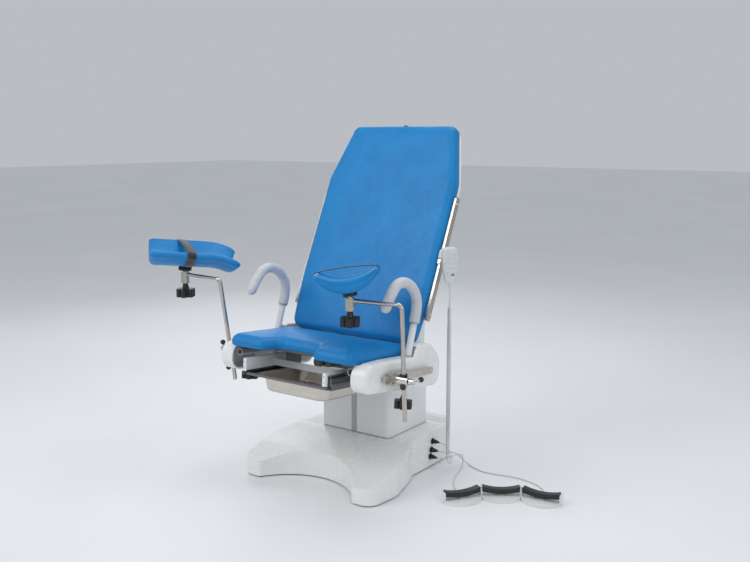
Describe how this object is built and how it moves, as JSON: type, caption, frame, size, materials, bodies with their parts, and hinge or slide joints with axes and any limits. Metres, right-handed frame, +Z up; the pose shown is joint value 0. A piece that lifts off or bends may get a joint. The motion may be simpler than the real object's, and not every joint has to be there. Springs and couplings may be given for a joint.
{
  "type": "gynaecological examination chair",
  "caption": "Powered examination chair with blue upholstery on a lift column, leg stirrups, hand grips, slide-out basin, handset and foot control.",
  "frame": {"origin": "on the floor, on the lift column's centre line, at the underside of the base plate", "axes": "+Z up, -Y towards the patient's feet, +X towards the patient's left, which is the side with the handset"},
  "size_m": [1.5906, 0.8938, 1.3282],
  "materials": {
    "white_shell": "satin",
    "white_enamel": "gloss",
    "strip_grey": "satin",
    "upholstery_blue": "satin",
    "frame_paint": "matte",
    "plate_steel": "matte",
    "stainless": "brushed",
    "polished_steel": "polished",
    "slide_steel": "brushed",
    "black_plastic": "matte",
    "white_plastic": "satin",
    "grip_foam": "matte",
    "strap_black": "woven",
    "cord_grey": "matte",
    "handset_grey": "satin",
    "drive_grey": "satin"
  },
  "bodies": {
    "base": {"base_plate": "plate_steel", "base_cover": "white_shell", "lower_column": "white_enamel", "lift_actuator": "drive_grey", "control_box": "black_plastic", "mains_inlet": "black_plastic", "side_connectors": "black_plastic", "cord_plugs": "black_plastic", "handset_cord_top": "cord_grey", "handset_coil": "cord_grey", "handset_cord_base": "cord_grey", "foot_cord_left": "cord_grey", "foot_cord_right": "cord_grey", "foot_base": "white_plastic"},
    "pedal_left": {"rocker_left": "black_plastic"},
    "pedal_middle": {"rocker_middle": "black_plastic"},
    "pedal_right": {"rocker_right": "black_plastic"},
    "lift": {"column_cover": "white_enamel", "column_strip": "strip_grey", "upper_column": "frame_paint", "lift_piston": "polished_steel"},
    "seat": {"seat_frame": "frame_paint", "seat_cushion": "upholstery_blue", "pod_left": "white_shell", "pod_right": "white_shell", "pod_rails": "stainless", "tray_brackets": "white_enamel", "tray_outer_slides": "slide_steel", "tilt_actuator": "drive_grey", "grip_left": "grip_foam", "grip_right": "grip_foam"},
    "backrest": {"backrest_cushion": "upholstery_blue", "backrest_shell": "white_shell", "backrest_frame": "frame_paint", "back_rails": "stainless", "back_actuator": "drive_grey"},
    "tray_middle": {"tray_mid_slides": "slide_steel"},
    "tray": {"tray_carrier": "slide_steel"},
    "pan": {"basin": "stainless"},
    "handset_body": {"handset": "handset_grey"},
    "clamp_right": {"clamp_right": "stainless"},
    "clamp_knob_right": {"clamp_knob_right": "black_plastic"},
    "holder_right": {"rod_holder_right": "stainless"},
    "tee_right": {"tee_handle_right": "polished_steel"},
    "collet_right": {"rod_collet_right": "black_plastic"},
    "stirrup_right": {"stirrup_rod_right": "stainless"},
    "pad_knob_right": {"pad_knob_right": "black_plastic"},
    "pad_stud_right": {"pad_ball_right": "stainless"},
    "leg_pad_right": {"pad_right": "upholstery_blue", "pad_strap_right": "strap_black"},
    "clamp_left": {"clamp_left": "stainless"},
    "clamp_knob_left": {"clamp_knob_left": "black_plastic"},
    "holder_left": {"rod_holder_left": "stainless"},
    "tee_left": {"tee_handle_left": "polished_steel"},
    "collet_left": {"rod_collet_left": "black_plastic"},
    "stirrup_left": {"stirrup_rod_left": "stainless"},
    "pad_knob_left": {"pad_knob_left": "black_plastic"},
    "pad_stud_left": {"pad_ball_left": "stainless"},
    "leg_pad_left": {"pad_left": "upholstery_blue", "pad_strap_left": "strap_black"}
  },
  "joints": [
    {"name": "column_lift", "type": "slide", "parent": "base", "child": "lift", "axis": [0, 0, 1], "range_m": [0, 0.28]},
    {"name": "seat_tilt", "type": "hinge", "parent": "lift", "child": "seat", "pos_m": [0, -0.07, 0.425], "axis": [-1, 0, 0], "range_deg": [-5, 15]},
    {"name": "backrest_recline", "type": "hinge", "parent": "seat", "child": "backrest", "pos_m": [0, -0.09, 0.492], "axis": [-1, 0, 0], "range_deg": [0, 62]},
    {"name": "tray_slide", "type": "slide", "parent": "seat", "child": "tray", "axis": [0, -0.9962, 0.0872], "range_m": [0, 0.2]},
    {"name": "tray_middle_slide", "type": "slide", "parent": "seat", "child": "tray_middle", "axis": [0, -0.9962, 0.0872], "range_m": [0, 0.1]},
    {"name": "pan_lift", "type": "slide", "parent": "tray", "child": "pan", "axis": [0, 0.0872, 0.9962], "range_m": [0, 0.012]},
    {"name": "handset_pull_off", "type": "slide", "parent": "backrest", "child": "handset_body", "axis": [1, 0, 0], "range_m": [0, 0.12]},
    {"name": "pedal_left_rock", "type": "hinge", "parent": "base", "child": "pedal_left", "pos_m": [0.518, -0.192, 0.02], "axis": [-0.8387, 0.5446, 0], "range_deg": [-4, 4], "stiffness_Nm_per_rad": 2},
    {"name": "pedal_middle_rock", "type": "hinge", "parent": "base", "child": "pedal_middle", "pos_m": [0.62, -0.088, 0.02], "axis": [-0.5446, 0.8387, 0], "range_deg": [-4, 4], "stiffness_Nm_per_rad": 2},
    {"name": "pedal_right_rock", "type": "hinge", "parent": "base", "child": "pedal_right", "pos_m": [0.757, -0.04, 0.02], "axis": [-0.1219, 0.9925, 0], "range_deg": [-4, 4], "stiffness_Nm_per_rad": 2},
    {"name": "clamp_slide_right", "type": "slide", "parent": "seat", "child": "clamp_right", "axis": [0, 0.9962, -0.0872], "range_m": [-0.02, 0.014]},
    {"name": "clamp_knob_turn_right", "type": "hinge", "parent": "clamp_right", "child": "clamp_knob_right", "pos_m": [0.355, -0.32483, 0.4002], "axis": [0, 0.0872, 0.9962], "continuous": true},
    {"name": "stirrup_swing_right", "type": "hinge", "parent": "clamp_right", "child": "holder_right", "pos_m": [0.398, -0.38934, 0.46607], "axis": [1, 0, 0], "range_deg": [-3, 34]},
    {"name": "tee_turn_right", "type": "hinge", "parent": "holder_right", "child": "tee_right", "pos_m": [0.432, -0.38934, 0.46607], "axis": [1, 0, 0], "continuous": true},
    {"name": "rod_turn_right", "type": "hinge", "parent": "holder_right", "child": "collet_right", "pos_m": [0.398, -0.38934, 0.46607], "axis": [0, -0.0558, 0.9984], "range_deg": [-5, 170]},
    {"name": "rod_height_right", "type": "slide", "parent": "collet_right", "child": "stirrup_right", "axis": [0, -0.0558, 0.9984], "range_m": [-0.03, 0.09]},
    {"name": "pad_knob_turn_right", "type": "hinge", "parent": "stirrup_right", "child": "pad_knob_right", "pos_m": [0.19718, -0.42574, 0.66644], "axis": [0, 0, 1], "continuous": true},
    {"name": "pad_turn_right", "type": "hinge", "parent": "stirrup_right", "child": "pad_stud_right", "pos_m": [0.19718, -0.42574, 0.72644], "axis": [0, 0, 1], "range_deg": [-28, 40]},
    {"name": "pad_tilt_right", "type": "hinge", "parent": "pad_stud_right", "child": "leg_pad_right", "pos_m": [0.19718, -0.42574, 0.74644], "axis": [0.809, 0.5878, 0], "range_deg": [-11, 11]},
    {"name": "clamp_slide_left", "type": "slide", "parent": "seat", "child": "clamp_left", "axis": [0, 0.9962, -0.0872], "range_m": [-0.015, 0.1]},
    {"name": "clamp_knob_turn_left", "type": "hinge", "parent": "clamp_left", "child": "clamp_knob_left", "pos_m": [-0.355, -0.34326, 0.40181], "axis": [0, 0.0872, 0.9962], "continuous": true},
    {"name": "stirrup_swing_left", "type": "hinge", "parent": "clamp_left", "child": "holder_left", "pos_m": [-0.398, -0.40777, 0.46768], "axis": [1, 0, 0], "range_deg": [-5, 40]},
    {"name": "tee_turn_left", "type": "hinge", "parent": "holder_left", "child": "tee_left", "pos_m": [-0.432, -0.40777, 0.46768], "axis": [1, 0, 0], "continuous": true},
    {"name": "rod_turn_left", "type": "hinge", "parent": "holder_left", "child": "collet_left", "pos_m": [-0.398, -0.40777, 0.46768], "axis": [0, -0.1719, 0.9851], "range_deg": [-10, 120]},
    {"name": "rod_height_left", "type": "slide", "parent": "collet_left", "child": "stirrup_left", "axis": [0, -0.1719, 0.9851], "range_m": [-0.03, 0.09]},
    {"name": "pad_knob_turn_left", "type": "hinge", "parent": "stirrup_left", "child": "pad_knob_left", "pos_m": [-0.59958, -0.4441, 0.69166], "axis": [0, 0, 1], "continuous": true},
    {"name": "pad_turn_left", "type": "hinge", "parent": "stirrup_left", "child": "pad_stud_left", "pos_m": [-0.59958, -0.4441, 0.75167], "axis": [0, 0, 1], "range_deg": [-28, 40]},
    {"name": "pad_tilt_left", "type": "hinge", "parent": "pad_stud_left", "child": "leg_pad_left", "pos_m": [-0.59958, -0.4441, 0.77167], "axis": [-0.7771, 0.6293, 0], "range_deg": [-11, 11]}
  ],
  "couplings": [
    {"joint": "tray_middle_slide", "follows": "tray_slide", "ratio": 0.5}
  ]
}
